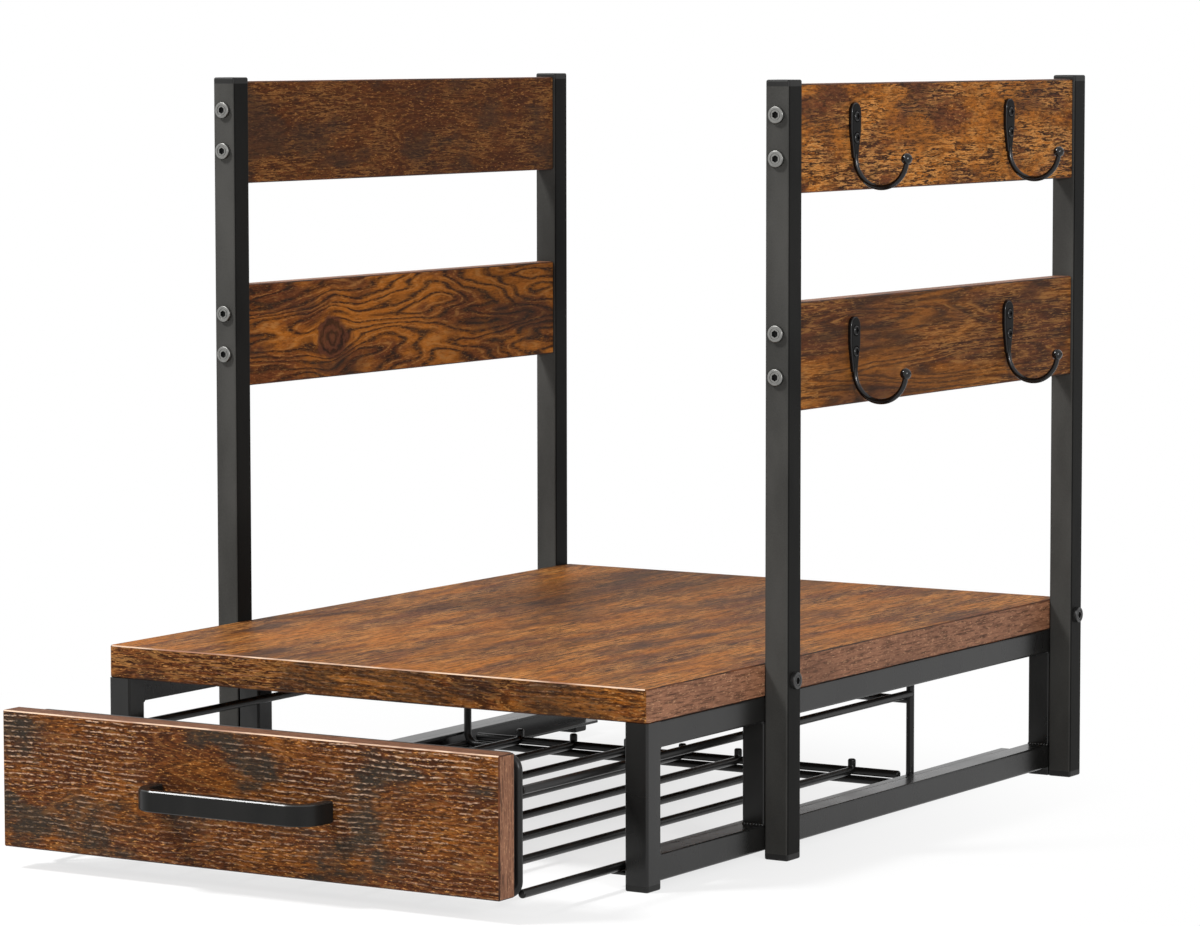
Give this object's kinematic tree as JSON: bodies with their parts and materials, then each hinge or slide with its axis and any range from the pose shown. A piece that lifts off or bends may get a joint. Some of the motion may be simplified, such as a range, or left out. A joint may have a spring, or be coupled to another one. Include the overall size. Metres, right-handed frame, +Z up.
{
  "type": "coffee capsule drawer stand",
  "caption": "Wood board on welded steel side frames, with a pull-out wire capsule drawer under it and a rack of hooked slats between posts on each side.",
  "frame": {"origin": "on the surface that the stand rests on, in the middle of its box with the drawer ajar as pictured", "axes": "+X to the right of a person who faces the drawer, +Y from the drawer's handle to the rear, +Z up"},
  "size_m": [0.3844, 0.5302, 0.36],
  "materials": {
    "wood_laminate": "rustic brown printed laminate, satin",
    "black_steel": "fine-textured black powder coat",
    "black_wire": "smooth black coat",
    "hook_black": "glossy black coat",
    "black_plastic": "moulded, matt",
    "zinc_steel": "bright zinc plate"
  },
  "bodies": {
    "stand": {"top_board": "wood_laminate", "left_side_frame": "black_steel", "right_side_frame": "black_steel", "left_front_leg_foot": "black_plastic", "left_rear_leg_foot": "black_plastic", "right_front_leg_foot": "black_plastic", "right_rear_leg_foot": "black_plastic", "left_front_post": "black_steel", "left_rear_post": "black_steel", "right_front_post": "black_steel", "right_rear_post": "black_steel", "left_front_post_foot": "black_plastic", "left_rear_post_foot": "black_plastic", "right_front_post_foot": "black_plastic", "right_rear_post_foot": "black_plastic", "left_front_post_cap": "black_plastic", "left_rear_post_cap": "black_plastic", "right_front_post_cap": "black_plastic", "right_rear_post_cap": "black_plastic", "left_front_bolt_upper_top": "zinc_steel", "left_front_bolt_upper_bottom": "zinc_steel", "left_front_bolt_lower_top": "zinc_steel", "left_front_bolt_lower_bottom": "zinc_steel", "left_rear_bolt_upper_top": "zinc_steel", "left_rear_bolt_upper_bottom": "zinc_steel", "left_rear_bolt_lower_top": "zinc_steel", "left_rear_bolt_lower_bottom": "zinc_steel", "right_front_bolt_upper_top": "zinc_steel", "right_front_bolt_upper_bottom": "zinc_steel", "right_front_bolt_lower_top": "zinc_steel", "right_front_bolt_lower_bottom": "zinc_steel", "right_rear_bolt_upper_top": "zinc_steel", "right_rear_bolt_upper_bottom": "zinc_steel", "right_rear_bolt_lower_top": "zinc_steel", "right_rear_bolt_lower_bottom": "zinc_steel", "left_front_board_bolt": "zinc_steel", "left_rear_board_bolt": "zinc_steel", "right_front_board_bolt": "zinc_steel", "right_rear_board_bolt": "zinc_steel", "left_upper_slat": "wood_laminate", "left_lower_slat": "wood_laminate", "right_upper_slat": "wood_laminate", "right_lower_slat": "wood_laminate", "left_upper_front_hook": "hook_black", "left_upper_rear_hook": "hook_black", "left_lower_front_hook": "hook_black", "left_lower_rear_hook": "hook_black", "right_upper_front_hook": "hook_black", "right_upper_rear_hook": "hook_black", "right_lower_front_hook": "hook_black", "right_lower_rear_hook": "hook_black"},
    "drawer": {"drawer_front": "wood_laminate", "drawer_handle": "black_steel", "handle_screw_left": "zinc_steel", "handle_screw_right": "zinc_steel", "bracket_screw_left": "zinc_steel", "bracket_screw_right": "zinc_steel", "basket_front_hoop": "black_wire", "basket_cage": "black_wire", "basket_floor_grid": "black_wire"}
  },
  "joints": [
    {"name": "drawer_slide", "type": "slide", "parent": "stand", "child": "drawer", "axis": [0, -1, 0], "range_m": [-0.0982, 0.152]}
  ]
}
